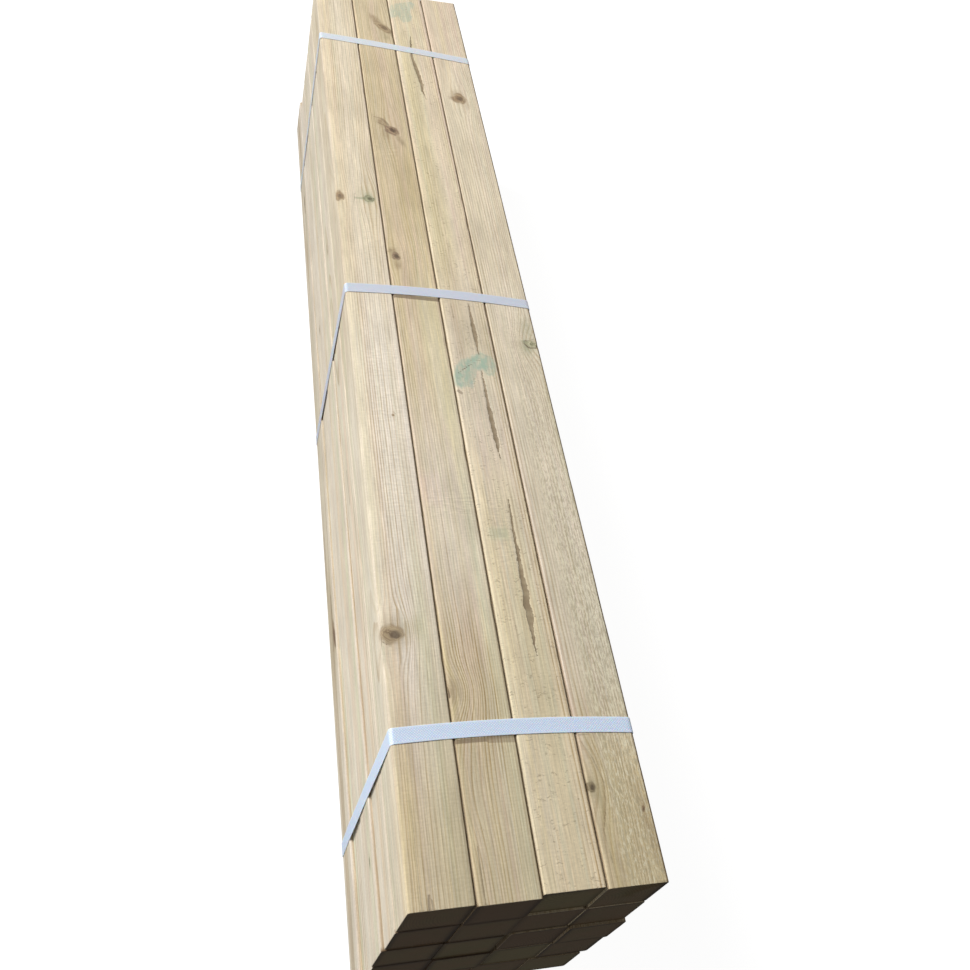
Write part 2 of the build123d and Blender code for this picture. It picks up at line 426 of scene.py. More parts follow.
def section_outline(width, height, steps):
    """A rounded rectangle seen from the near end, anticlockwise from the middle of its bottom.

    Returns the points, their outward normals and how far each lies along the outline. steps gives
    the spacing of the points on each side."""
    half_w, half_h = width / 2, height / 2
    w, h = half_w - ARRIS_RADIUS, half_h - ARRIS_RADIUS
    points, normals = [], []
    # Each side's face, start, end and outward normal, and the centre and first angle of its corner
    for face, start, stop, normal, centre, angle in (
        ("bottom", (0, -half_h), (w, -half_h), (0, -1), (w, -h), -90),
        ("right", (half_w, -h), (half_w, h), (1, 0), (w, h), 0),
        ("top", (w, half_h), (-w, half_h), (0, 1), (-w, h), 90),
        ("left", (-half_w, h), (-half_w, -h), (-1, 0), (-w, -h), 180),
        ("bottom", (-w, -half_h), (0, -half_h), (0, -1), None, 0),
    ):
        count = max(2, math.ceil(math.dist(start, stop) / steps[face]))
        for t in np.linspace(0, 1, count, endpoint=False):
            points.append((start[0] + (stop[0] - start[0]) * t, start[1] + (stop[1] - start[1]) * t))
            normals.append(normal)
        for k in range(ARC_STEPS if centre else 0):
            a = math.radians(angle + 90 * k / ARC_STEPS)
            points.append((centre[0] + ARRIS_RADIUS * math.cos(a), centre[1] + ARRIS_RADIUS * math.sin(a)))
            normals.append((math.cos(a), math.sin(a)))
    points, normals = np.array(points), np.array(normals)
    gaps = np.hypot(*(np.roll(points, -1, 0) - points).T)
    return points, normals, np.concatenate([[0], np.cumsum(gaps)])


def post_ends(node):
    """Reads a post's size and place from its solid: both end cuts as y = level + slope * x."""
    co = np.array([v.co for v in node.data.vertices], float)
    middle = co[:, 1].mean()
    ends = []
    for part in (co[co[:, 1] < middle], co[co[:, 1] >= middle]):
        low, high = part.min(0), part.max(0)
        x, z = (low[0] + high[0]) / 2, (low[2] + high[2]) / 2
        slope, level = np.polyfit(part[:, 0] - x, part[:, 1], 1)
        width, height = high[0] - low[0], high[2] - low[2]
        ends.append({"x": x, "z": z, "y": level, "slope": slope, "width": width, "height": height})
    return ends


def face_frame(face, width, height):
    """For a face's name: the section point of its middle, and the direction across it."""
    sign = 1 if face in ("top", "right") else -1
    if face in ("top", "bottom"):
        return np.array([0, sign * height / 2]), np.array([1, 0])
    return np.array([sign * width / 2, 0]), np.array([0, 1])


class Surface:
    """The points of one post's surface, and what is worked out for each of them."""

    def __init__(self, look, width, height, u, v, along, normal):
        self.look, self.width, self.height = look, width, height
        self.u, self.v, self.along, self.normal = u, v, along, normal
        self.faces = {name: self.on_face(name) for name in FACES}

    def on_face(self, face):
        """The place across a face, in mm, and how fully each point belongs to that face."""
        middle, across = face_frame(face, self.width, self.height)
        outward = middle / np.hypot(*middle)
        place = ((self.u - middle[0]) * across[0] + (self.v - middle[1]) * across[1]) / MM
        facing = self.normal[:, 0] * outward[0] + self.normal[:, 1] * outward[1]
        return place, smoothstep(0.25, 0.75, facing)

    def zeros(self):
        """Three noughts for each point."""
        return np.zeros((len(self.u), 3))


def put(field, where, values):
    """Writes each value into its column of a field, at the points that are chosen."""
    for column, value in enumerate(values):
        field[:, column] = np.where(where, value, field[:, column])


def own_place(item, across, along, unit):
    """Places in a knot's or a smudge's own directions, in its half widths and half lengths."""
    cos, sin = math.cos(item["lean"]), math.sin(item["lean"])
    return ((across * cos + along * sin) / (item["wide"] * unit),
            (along * cos - across * sin) / (item["long"] * unit))


def pith_at(look, along):
    """Where the middle of the tree's rings lies in the section, at a place along the post."""
    share = along / POST_LENGTH
    return [
        (look["pith"][k] + look["drift"][k] * share
         + 5 * (noise(along / 0.45, 0 * along, look["seed"] + seed) - 0.5)) * MM
        for k, seed in ((0, 3), (1, 7))
    ]


def knot_places(s, k):
    """For every point: its place out along a knot's axis, across it and along the post, in metres."""
    middle, across = face_frame(k["face"], s.width, s.height)
    ku, kv = middle + across * k["across"] * MM
    kpu, kpv = pith_at(s.look, np.array(k["along"] * MM))
    axis = np.array([ku - kpu, kv - kpv])
    axis = axis / np.hypot(*axis) + 1.2 * (middle / np.hypot(*middle))
    axis = axis / np.hypot(*axis)
    turned = np.array([-axis[1], axis[0]])
    turned = -turned if turned @ across < 0 else turned
    out = (s.u - ku) * axis[0] + (s.v - kv) * axis[1]
    c = (s.u - ku) * turned[0] + (s.v - kv) * turned[1]
    return out, c, s.along - k["along"] * MM, turned


def wood_fields(s):
    """The grain and the knots at points of a post: what the wood's pattern is drawn from."""
    pu, pv = pith_at(s.look, s.along)
    bent_u, bent_v = s.u.copy(), s.v.copy()
    nearest = np.full(s.u.shape, np.inf)
    place, look, more = s.zeros(), s.zeros(), s.zeros()
    for k in s.look["knots"]:
        out, c, l, turned = knot_places(s, k)
        inside = smoothstep(-38 * MM, -24 * MM, out)
        swing = np.maximum(np.hypot(c / (k["bend"][0] * MM), l / (k["bend"][1] * MM)), 0.75) ** 2
        swing = np.maximum(swing, 1.0)
        bent_u -= turned[0] * c * inside / swing
        bent_v -= turned[1] * c * inside / swing
        kx, ky = own_place(k, c, l, MM)
        size = np.hypot(kx, ky)
        closer = size < nearest
        nearest = np.where(closer, size, nearest)
        put(place, closer, (kx, ky, inside * (1 - smoothstep(4.2, 5.0, size))))
        put(look, closer, k["look"])
        put(more, closer, k["more"])
    for item in s.look["swerves"]:
        across, belongs = s.faces[item["face"]]
        off = ((across - item["across"]) / item["wide"]) ** 2
        off = off + ((s.along / MM - item["along"]) / item["long"]) ** 2
        shift = item["shift"] * MM * np.exp(-off) * belongs
        direction = face_frame(item["face"], s.width, s.height)[1]
        bent_u -= direction[0] * shift
        bent_v -= direction[1] * shift
    rings = np.hypot(bent_u - pu, bent_v - pv) / (s.look["spacing"] * MM)
    rings += 0.8 * noise(rings / 2.5, s.along / 0.9, s.look["seed"])
    return rings, place, look, more


def share_of(s, item):
    """How fully each point belongs to a band or a stretch, from 0 to 1."""
    across, belongs = s.faces[item["face"]]
    along = s.along / MM
    start, stop = item["ends"]
    lean = item["slant"] * (np.clip((along - start) / (stop - start), 0, 1) - 0.5)
    wander = 3.0 * (noise(along / 110, 0 * along, s.look["seed"] + item["sides"][0]) - 0.5)
    sideways = within(*item["sides"], item["soft"], across - lean - wander)
    return sideways * within(start, stop, item["fade"], along) * belongs


def line_distance(across, along, start, stop):
    """How far points are from the line between two places, in mm."""
    dx, dy = stop[0] - start[0], stop[1] - start[1]
    t = np.clip(((across - start[0]) * dx + (along - start[1]) * dy) / (dx * dx + dy * dy), 0, 1)
    return np.hypot(across - start[0] - t * dx, along - start[1] - t * dy)


def outline_depth(points, across, along):
    """How far inside a closed outline a point is, in mm. Outside it is negative."""
    corners = np.array(points, float)
    nearest = np.full(across.shape, np.inf)
    inside = np.zeros(across.shape, bool)
    for (ax, ay), (bx, by) in zip(corners, np.roll(corners, -1, 0)):
        nearest = np.minimum(nearest, line_distance(across, along, (ax, ay), (bx, by)))
        with np.errstate(divide="ignore", invalid="ignore"):
            inside ^= ((ay > along) != (by > along)) & (across < (bx - ax) * (along - ay) / (by - ay) + ax)
    return np.where(inside, nearest, -nearest)


OFF_FACE = 60.0


def streak_field(s):
    """Bared pith streaks: how far each point is from the nearest one's middle, and its half width."""
    across, belongs = s.faces["top"]
    along = s.along / MM
    field = s.zeros()
    field[:, 0] = OFF_FACE
    for streak in s.look["streaks"]:
        at, middle, half = np.array(sorted((at, middle, half) for middle, at, half in streak), float).T
        on_it = (along > at[0] - 4) & (along < at[-1] + 4) & (belongs > 0.5)
        put(field, on_it, (across - np.interp(along, at, middle), np.interp(along, at, half)))
    return field


def dark_line_field(s):
    """Thin dark lines: the distance to the nearest one, its half width and how dark it is."""
    field = s.zeros()
    field[:, 0] = OFF_FACE
    for item in s.look["dark_lines"]:
        across, belongs = s.faces[item["face"]]
        far = line_distance(across, s.along / MM, item["start"], item["stop"])
        far = np.where(belongs > 0.3, far, OFF_FACE)
        put(field, far < field[:, 0], (far, item["half"], item["dark"]))
    return field


def smudge_and_rim_shade_field(s, end):
    """How brown and how green the soft dark patches make each point, and the painted shade on the sawn
    ends' rims.

    An end is painted darker towards its sides, as the shade in the gaps beside the next posts."""
    field = s.zeros()
    rng = np.random.default_rng(int(s.look["seed"] * 7))
    insets = (s.width / 2 - s.u, s.width / 2 + s.u, s.height / 2 - s.v, s.height / 2 + s.v)
    # Painted shade: each side of an end gets its own strength of dark rim
    rim_shades = [rng.uniform(0.1, 1.0) * (1 - smoothstep(0.5 * MM, rng.uniform(5, 12) * MM, i)) for i in insets]
    field[:, 2] = np.maximum.reduce(rim_shades) * end
    for item in s.look["smudges"]:
        across, belongs = s.faces[item["face"]]
        off = np.hypot(*own_place(item, across - item["across"], s.along / MM - item["along"], 1))
        share = (1 - smoothstep(0.2, 1.4, off)) * belongs
        for column, shade in enumerate(item["shades"]):
            field[:, column] = np.maximum(field[:, column], share * shade)
    return field


def band_fields(s):
    """The tone of the wood, in places partly painted light, and its lines, fuzz and yellowness, as its
    bands change them.
    """
    tone, zone = s.zeros(), s.zeros()
    for item in s.look["bands"]:
        share = share_of(s, item)[:, None]
        tone += share * np.array(item["tone"])
        zone += share * np.array(item["zone"])
    return tone, zone


def mark_fields(s):
    """Stain depth in mm, how many small dashes there are, and the share of chatter marks."""
    field = s.zeros()
    field[:, 0] = -OFF_FACE
    for item in s.look["stains"]:
        across, belongs = s.faces[item["face"]]
        depth = outline_depth(item["outline"], across, s.along / MM)
        depth = np.minimum(np.where(belongs > 0.3, depth, -OFF_FACE), item["most"])
        field[:, 0] = np.maximum(field[:, 0], depth)
    field[:, 1] = s.look["dashes"] * s.faces["top"][1]
    for item in s.look["chatter"]:
        field[:, 2] += item["share"] * share_of(s, item)
    return field


def painted_shade_field(s, row, column, arris):
    """Painted shade: 1 on the arrises where this post meets its neighbours and on the last column's outer
    right arris, a little on the first column's top left arris, and up to 1.15 on the hidden sides just
    behind the near end.
    """
    across, up = s.normal[:, 0], s.normal[:, 1]
    meets_left, meets_right, under, over = column > 1, column < COLUMNS, row > 1, row < ROWS
    seen = 0.45 if column == 1 else 1.0
    met = np.maximum.reduce([
        smoothstep(0.30, 0.85, across) * meets_right,
        smoothstep(0.70, 1.0, -across) * meets_left,
        seen * smoothstep(0.60, 1.0, -up) * over,
        seen * smoothstep(0.60, 1.0, up) * under,
        # Painted shade that dims the lit top left arris of the first column
        0.30 * smoothstep(0.10, 0.60, up) * smoothstep(0.05, 0.45, -across) * (column == 1),
    ]) * arris
    hidden = np.maximum.reduce([
        smoothstep(0.1, 0.4, across) * meets_right, smoothstep(0.1, 0.4, up) * under,
        smoothstep(0.1, 0.4, -up) * over, smoothstep(0.3, 0.7, -across) * meets_left,
    ])
    # Painted shade: a dark line along the outer right arris of the last column
    outer = smoothstep(0.04, 0.34, across) * (1 - smoothstep(0.6, 0.9, across))
    outer = outer * arris * (column == COLUMNS)
    # Painted shade on the hidden sides that show in the gaps just behind the near end
    near_end = 1.15 * hidden * (1 - smoothstep(3 * MM, 9 * MM, s.along + 5 * MM))
    return np.maximum.reduce([met, outer, near_end])


def sunk(s, knot_place, streak, dark_line, rough, around, arris):
    """How far the surface lies inside the post's true section, in metres."""
    def rises(across, along, offset):
        return noise(around / across, s.along / along, s.look["seed"] + offset)

    waves = 0.20 * rises(0.03, 0.16, 11)
    waves += 0.10 * rises(0.008, 0.05, 12)
    size = np.hypot(knot_place[:, 0], knot_place[:, 1])
    groove = 0.35 * np.exp(-(((size - 1.05) / 0.22) ** 2)) * knot_place[:, 2]
    dent = 3.0 * np.maximum(rises(0.02, 0.035, 13) - 0.72, 0) * arris
    trough = 0.9 * smoothstep(-0.8, 1.2, streak[:, 1] - np.abs(streak[:, 0])) * (streak[:, 1] > 0)
    line_mark = 0.5 * (1 - smoothstep(0, 2.0, dark_line[:, 0])) * dark_line[:, 2]
    torn = 0.25 * rough * rises(0.0025, 0.006, 14)
    return (0.06 + waves + groove + dent + trough + line_mark + torn) * MM


def post_steps(row, column):
    """How closely a post's surface is divided: fine where it shows, coarse inside the stack."""
    if row == 1:
        along, sides = 3.0, (2.0, 2.8 if column == 1 else 7, 7, 9)
    elif column == 1:
        along, sides = 5.2, (9, 2.6, 9, 9)
    elif column == COLUMNS:
        along, sides = 9.0, (9, 9, 4, 9)
    else:
        along, sides = 14.0, (8, 8, 8, 8)
    return along * MM, {face: step * MM for face, step in zip(FACES, sides)}


def post_points(outline, normals, reach, stations, width):
    """The body's rows of points, the rings of both ends and the ends' middles.

    Returns each point's place in the section and along the post, how far it is pulled in, whether
    it lies on an end, and its place round the outline. Then the points' normals."""
    ends = stations[0], stations[-1]
    layers = [(outline, s, END_CHAMFER * END_PULL * (s in ends), 0.0) for s in stations]
    for s in ends:
        layers += [(outline * (1 - d / (width / 2)), s, END_CHAMFER * END_PULL, 1.0) for d in END_RINGS]
    rows = [
        np.column_stack([points, np.full((len(outline), 3), (s, pulled, end)), reach[:-1], normals])
        for points, s, pulled, end in layers
    ]
    table = np.vstack(rows + [[(0, 0, s, 0, 1, 0, 0, 1) for s in ends]])
    return table[:, :6].T.copy(), table[:, 6:]


BODY_STRIP = 0.88
END_MIDDLES = ((0.94, 0.25), (0.94, 0.75))
END_PATCH = (0.11, 0.45)


def post_faces(rows, count, reach, shares, outline, width, height):
    """The faces of a post's sides and ends, with a flat layout of the whole surface beside them."""
    i, j = np.arange(rows - 1)[:, None], np.arange(count)[None, :]
    after = (j + 1) % count
    body = np.stack([i * count + j, (i + 1) * count + j, (i + 1) * count + after, i * count + after], -1)
    across_uv = BODY_STRIP * reach / reach[-1]
    a0, a1 = across_uv[:-1][None, :] + 0 * i, across_uv[1:][None, :] + 0 * i
    s0, s1 = shares[:-1][:, None] + 0 * j, shares[1:][:, None] + 0 * j
    body_uv = np.stack([np.stack(corner, -1) for corner in ((a0, s0), (a0, s1), (a1, s1), (a1, s0))], -2)
    faces, uv = body.reshape(-1, 4).tolist(), [body_uv.reshape(-1, 2)]
    j, after, outline_after = j[0], after[0], np.roll(outline, -1, 0)
    rings = len(END_RINGS)
    scales = [1.0] + [1 - d / (width / 2) for d in END_RINGS]
    patch = np.array([END_PATCH[0] / width, END_PATCH[1] / height])
    for end, order in ((0, 1), (1, -1)):
        layers = [end * (rows - 1) * count] + [(rows + end * rings + k) * count for k in range(rings)]
        for k, outer in enumerate(layers):
            corners, places = [outer + j, outer + after], [outline * scales[k], outline_after * scales[k]]
            if k < rings:
                corners += [layers[k + 1] + after, layers[k + 1] + j]
                places += [outline_after * scales[k + 1], outline * scales[k + 1]]
            else:
                corners += [np.full(count, (rows + 2 * rings) * count + end)]
                places += [outline * 0]
            faces += np.stack(corners[::order], -1).tolist()
            uv.append((np.stack(places[::order], 1) * patch + np.array(END_MIDDLES[end])).reshape(-1, 2))
    return faces, np.concatenate(uv)


def build_post(name, row, column):
    """One post as a swept, slightly worn surface with closed sawn ends."""
    look = look_of(row, column)
    near, far = post_ends(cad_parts[name])
    width, height, length = near["width"], near["height"], far["y"] - near["y"]
    spacing, steps = post_steps(row, column)
    outline, normals, reach = section_outline(width, height, steps)
    start, stop = END_CHAMFER, length - END_CHAMFER
    body = np.linspace(start, stop, max(2, math.ceil(abs(stop - start) / spacing)), endpoint=False)
    stations = np.concatenate([[0], body, [stop, length]])
    (u, v, at, pulled, end, around), normal = post_points(outline, normals, reach, stations, width)
    along = at + near["y"] - BUNDLE_START
    s = Surface(look, width, height, u, v, along, normal)

    rings, knot_place, knot_look, knot_more = wood_fields(s)
    tone, zone = band_fields(s)
    streak, dark_line_place = streak_field(s), dark_line_field(s)
    top_place, on_top = s.faces["top"]
    rough = look["rough"] * on_top * smoothstep(-20, 12, top_place)
    arris = (np.abs(normal).min(1) > 0.05) * (1 - end)
    depth = sunk(s, knot_place, streak, dark_line_place, rough, around, arris) * (1 - end) + pulled
    du, dv = u - normal[:, 0] * depth, v - normal[:, 1] * depth
    share = at / length
    x = near["x"] + (far["x"] - near["x"]) * share + du
    z = near["z"] + (far["z"] - near["z"]) * share + dv
    near_y, far_y = near["y"] + near["slope"] * du, far["y"] + far["slope"] * du
    saw = 0.25 * MM * noise(u / 0.004, v / 0.03, look["seed"] + 21) * end
    y = near_y + (far_y - near_y) * share + np.where(share < 0.5, saw, -saw)

    shares = stations / length
    faces, corners_uv = post_faces(len(stations), len(outline), reach, shares, outline, width, height)
    mesh = new_mesh(name + "_wood", np.stack([x, y, z], 1), faces)
    mesh.uv_layers.new(name="OFBake").uv.foreach_set("vector", corners_uv.astype(np.float32).ravel())
    for field, values in {
        "grain": np.stack([rings, along, np.full(len(x), look["seed"])], 1),
        "place": np.stack([around, along, v], 1), "knot": knot_place, "knot_look": knot_look,
        "knot_more": knot_more, "tone": tone, "zone": zone, "marks": mark_fields(s), "streak": streak,
        "dark_line": dark_line_place, "smudge": smudge_and_rim_shade_field(s, end),
        "rough_end_shade": np.stack([rough, end, painted_shade_field(s, row, column, arris)], 1),
    }.items():
        add_vectors(mesh, field, values)
    return finish_piece(mesh, name)


def new_mesh(name, points, faces):
    """A mesh from points and faces, smooth except at its sharp edges."""
    mesh = bpy.data.meshes.new(name)
    mesh.from_pydata(points.tolist(), [], faces)
    mesh.polygons.foreach_set("use_smooth", np.ones(len(mesh.polygons), bool))
    mesh.set_sharp_from_angle(angle=math.radians(SHARP_ANGLE))
    return mesh


def add_vectors(mesh, name, values):
    """Three numbers for each point of a mesh, for its material to read."""
    layer = mesh.attributes.new(name, "FLOAT_VECTOR", "POINT")
    layer.data.foreach_set("vector", values.astype(np.float32).ravel())


def finish_piece(mesh, node):
    """Puts a mesh in the scene in place of a CAD node, riding on the one body."""
    piece = bpy.data.objects.new(mesh.name, mesh)
    bpy.context.scene.collection.objects.link(piece)
    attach(piece, "root")
    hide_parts(node)
    return piece


# Straps

STRAP_THICKNESS = 0.8 * MM
STRAP_STEP = 2.4 * MM
STRAP_BOW = {"strap_near": 5.3 * MM, "strap_middle": 6.4 * MM, "strap_far": 2.9 * MM}
# Painted light and shade: the three bands are one plastic; the middle and far ones are tinted darker and
# warmer for the light that falls on them
STRAP_TINT = {
    "strap_near": (1.0, 1.0, 1.0), "strap_middle": (0.88, 0.81, 0.76), "strap_far": (0.96, 0.88, 0.77),
}

# The band's own section, from its near edge over the outside to its far edge and back inside
STRAP_ACROSS = (-1, -1, -0.97, -0.9, -0.8, -0.6, -0.3, 0, 0.3, 0.6, 0.8, 0.9, 0.97, 1, 1, 0.5, -0.5)
STRAP_RISE = (0.1, 0.7, 0.95, 1, 0.96, 0.93, 0.93, 0.93, 0.93, 0.93, 0.96, 1, 0.95, 0.7, 0.1, 0, 0)


def hull(points):
    """The corners of the tightest loop round some points, anticlockwise."""
    def turns_left(a, b, c):
        return (b[0] - a[0]) * (c[1] - a[1]) - (b[1] - a[1]) * (c[0] - a[0]) > 0

    ordered = sorted(set(map(tuple, np.round(points, 7).tolist())))
    corners = []
    for line in (ordered, ordered[::-1]):
        chain = []
        for p in line:
            while len(chain) > 1 and not turns_left(chain[-2], chain[-1], p):
                chain.pop()
            chain.append(p)
        corners += chain[:-1]
    return np.array(corners)


def evenly_along(loop, step):
    """Points at even distances along a closed loop."""
    closed = np.vstack([loop, loop[:1]])
    reach = np.concatenate([[0], np.cumsum(np.hypot(*np.diff(closed, axis=0).T))])
    at = np.linspace(0, reach[-1], int(reach[-1] / step), endpoint=False)
    return np.stack([np.interp(at, reach, closed[:, k]) for k in (0, 1)], 1), at


def stack_section(y):
    """The outlines of all the posts, cut across at a place along the bundle."""
    cut = []
    for row, column in POSTS:
        near, far = post_ends(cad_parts[f"post_row{row}_col{column}"])
        share = (y - near["y"]) / (far["y"] - near["y"])
        outline = section_outline(near["width"], near["height"], dict.fromkeys(FACES, 80 * MM))[0]
        cut.append(outline + [near[k] + (far[k] - near[k]) * share for k in ("x", "z")])
    return np.concatenate(cut)


def lap_height(inner, normal, solid):
    """The second thickness of band where the ends lap: on the right side, at mid height."""
    right = solid[solid[:, 0] > solid[:, 0].max() - 0.4 * MM]
    low, high = right[:, 2].min(), right[:, 2].max()
    on_right = (normal[:, 0] > 0.9) & (inner[:, 0] > 0)
    z = inner[:, 1]
    rise = smoothstep(low - 1 * MM, low + 1.5 * MM, z) * (1 - smoothstep(high - 1.5 * MM, high + 1 * MM, z))
    return STRAP_THICKNESS * 0.98 * rise * on_right


def build_strap(name):
    """A flat band pulled tight round the stack, with its two ends lapped and welded on the right."""
    solid = np.array([v.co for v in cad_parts[name].data.vertices], float)
    fit = np.linalg.lstsq(np.c_[solid[:, [0, 2]], np.ones(len(solid))], solid[:, 1], rcond=None)[0]
    side = solid[np.abs(solid[:, 2] - solid[:, 2].mean()) < 0.1]
    half = (side[:, 1] - side[:, [0, 2]] @ fit[:2] - fit[2]).max() - 0.05 * MM
    inner, reach = evenly_along(hull(stack_section(solid[:, 1].mean())), STRAP_STEP)
    ahead = np.roll(inner, -1, 0) - np.roll(inner, 1, 0)
    normal = np.stack([ahead[:, 1], -ahead[:, 0]], 1) / np.hypot(*ahead.T)[:, None]
    lap = lap_height(inner, normal, solid)
    across, rise = np.array(STRAP_ACROSS, float), np.array(STRAP_RISE) * STRAP_THICKNESS
    lift = rise[None, :] + lap[:, None] * (rise > 0.5 * STRAP_THICKNESS)[None, :]
    points = inner[:, None, :] + normal[:, None, :] * lift[..., None]
    x, z = points[..., 0], points[..., 1]
    on_top = z > solid[:, 2].mean()
    bow = STRAP_BOW[name] * (1 - np.clip(np.abs(x) / solid[:, 0].max(), 0, 1) ** 2) * on_top
    y = x * fit[0] + z * fit[1] + fit[2] + bow + across[None, :] * half
    rows, count = x.shape
    i, j = np.arange(rows)[:, None], np.arange(count)[None, :]
    after_i, after_j = (i + 1) % rows, (j + 1) % count
    corners = (i * count + j, i * count + after_j, after_i * count + after_j, after_i * count + j)
    faces = np.stack(corners, -1).reshape(-1, 4).tolist()
    mesh = new_mesh(name + "_band", np.stack([x, y, z], -1).reshape(-1, 3), faces)
    place = np.stack(np.broadcast_arrays(reach[:, None], across * half, lap[:, None]), -1)
    add_vectors(mesh, "place", place.reshape(-1, 3))
    add_vectors(mesh, "tint", np.tile(STRAP_TINT[name], (rows * count, 1)))
    return finish_piece(mesh, name)


# Materials


class Shader:
    """Short forms for making the nodes of one material."""

    def __init__(self, name):
        self.material = bpy.data.materials.new(name)
        self.material.use_nodes = True
        self.tree = self.material.node_tree
        self.surface = self.tree.nodes["Principled BSDF"]

    def node(self, kind, inputs=(), **settings):
        made = self.tree.nodes.new(kind)
        for key, value in settings.items():
            setattr(made, key, value)
        for key, value in dict(inputs).items():
            self.feed(made.inputs[key], value)
        return made

    def feed(self, socket, value):
        if isinstance(value, bpy.types.NodeSocket):
            self.tree.links.new(value, socket)
        else:
            socket.default_value = value

    def math(self, operation, a, b=0.0, c=0.0, clamp=False):
        inputs = {0: a, 1: b, 2: c}
        return self.node("ShaderNodeMath", inputs, operation=operation, use_clamp=clamp).outputs[0]

    def plus(self, a, b):
        return self.math("ADD", a, b)

    def capped(self, a, b):
        """A sum that is kept between 0 and 1."""
        return self.math("ADD", a, b, clamp=True)

    def minus(self, a, b):
        return self.math("SUBTRACT", a, b)

    def times(self, *values):
        product = values[0]
        for value in values[1:]:
            product = self.math("MULTIPLY", product, value)
        return product

    def size(self, a):
        return self.math("ABSOLUTE", a)

    def either(self, a, b):
        return self.math("MAXIMUM", a, b)

    def length(self, x, y):
        made = self.node("ShaderNodeVectorMath", {0: self.vector(x, y, 0.0)}, operation="LENGTH")
        return made.outputs["Value"]

    def ramp(self, value, low, high, to_low=0.0, to_high=1.0):
        inputs = {"Value": value, "From Min": low, "From Max": high, "To Min": to_low, "To Max": to_high}
        return self.node("ShaderNodeMapRange", inputs, interpolation_type="SMOOTHSTEP").outputs[0]

    def fall(self, value, low, high):
        """1 below low, 0 above high, and a smooth fall between."""
        return self.ramp(value, low, high, 1.0, 0.0)

    def shift(self, value, amount):
        """A noise's swing to either side of its middle, times an amount."""
        return self.times(self.minus(value, 0.5), amount)

    def vector(self, x, y, z):
        return self.node("ShaderNodeCombineXYZ", {0: x, 1: y, 2: z}).outputs[0]

    def attribute(self, name):
        """The three numbers of a mesh attribute."""
        read = self.node("ShaderNodeAttribute", attribute_name=name)
        return tuple(self.node("ShaderNodeSeparateXYZ", {0: read.outputs["Vector"]}).outputs)

    def noise(self, x, y, z, detail=2.0, roughness=0.5):
        """Smooth noise round 0.5 at a place given by three numbers."""
        inputs = {"Vector": self.vector(x, y, z), "Scale": 1.0, "Detail": detail, "Roughness": roughness}
        return self.node("ShaderNodeTexNoise", inputs).outputs[0]

    def grain(self, name):
        """One of the named noises, at this point of the post."""
        across, along, offset, detail, roughness = GRAIN_NOISES[name]
        seed = self.plus(self.seed, offset) if offset else self.seed
        x, y = self.times(self.around, across), self.times(self.along, along)
        return self.noise(x, y, seed, detail, roughness)

    def mix(self, factor, a, b, blend="MIX"):
        """Mixes two colours. A colour may be three numbers."""
        made = self.node("ShaderNodeMix", {0: factor}, data_type="RGBA", blend_type=blend)
        for index, value in ((6, a), (7, b)):
            colour = value if isinstance(value, bpy.types.NodeSocket) else (*value, 1.0)
            self.feed(made.inputs[index], colour)
        return made.outputs[2]

    def shaded(self, colour, value):
        """A colour made lighter or darker by a factor."""
        return self.tinted(colour, [value] * 3)

    def tinted(self, colour, shares):
        """A colour with its red, green and blue times a share each."""
        tint = self.node("ShaderNodeCombineColor", dict(enumerate(shares))).outputs[0]
        return self.mix(1.0, colour, tint, "MULTIPLY")

    def bump(self, height_mm):
        inputs = {"Height": height_mm, "Distance": MM, "Strength": 1.0}
        self.feed(self.surface.inputs["Normal"], self.node("ShaderNodeBump", inputs).outputs[0])


CREAM = (0.645, 0.553, 0.385)
PINK = (0.635, 0.505, 0.385)
YELLOW = (0.67, 0.56, 0.335)
GREEN_GREY = (0.575, 0.545, 0.37)
WHITISH = (0.645, 0.588, 0.458)
LATE_TINT = (0.62, 0.50, 0.35)
PALER = (1.0, 1.1, 1.7)
KNOT_TAN = (0.46, 0.345, 0.205)
KNOT_BROWN = (0.245, 0.165, 0.095)
KNOT_RED = (0.165, 0.10, 0.078)
KNOT_DARK = (0.085, 0.06, 0.042)
KNOT_MOSS = (0.165, 0.17, 0.095)
HALO_BROWN = (0.47, 0.375, 0.235)
HALO_GREEN = (0.29, 0.32, 0.20)
STAIN_GREEN = (0.33, 0.45, 0.35)
STAIN_GREY = (0.42, 0.44, 0.40)
SMUDGE_BROWN = (0.27, 0.19, 0.11)
WOOL_PALE = (0.74, 0.68, 0.50)
WOOL_DARK = (0.43, 0.375, 0.25)
STREAK_BROWN = (0.26, 0.195, 0.118)
STREAK_DARK = (0.16, 0.115, 0.07)
# Brown of the painted shade in the seams between posts
SHADE_BROWN = (0.15, 0.088, 0.036)
# The sawn ends' colours are darker than bare end grain: partly painted shade
END_BROWN = (0.222, 0.137, 0.068)
END_GREY = (0.18, 0.148, 0.064)
END_DARK = (0.08, 0.048, 0.027)
# Painted shade in the gaps between the sawn ends
END_GAP_SHADE = (0.03, 0.017, 0.009)

# Gloss of the wood, and the relief of its surface in mm
WOOD_GLOSS = 0.25
RING_RELIEF, FIBRE_RELIEF, TORN_RELIEF, RIPPLE_RELIEF = 0.05, 0.05, 0.45, 0.012
KNOT_GROOVE, DASH_DEPTH, CHATTER_RELIEF = 0.25, 0.15, 0.06
STREAK_DEPTH, LINE_GROOVE_DEPTH = 0.35, 0.3

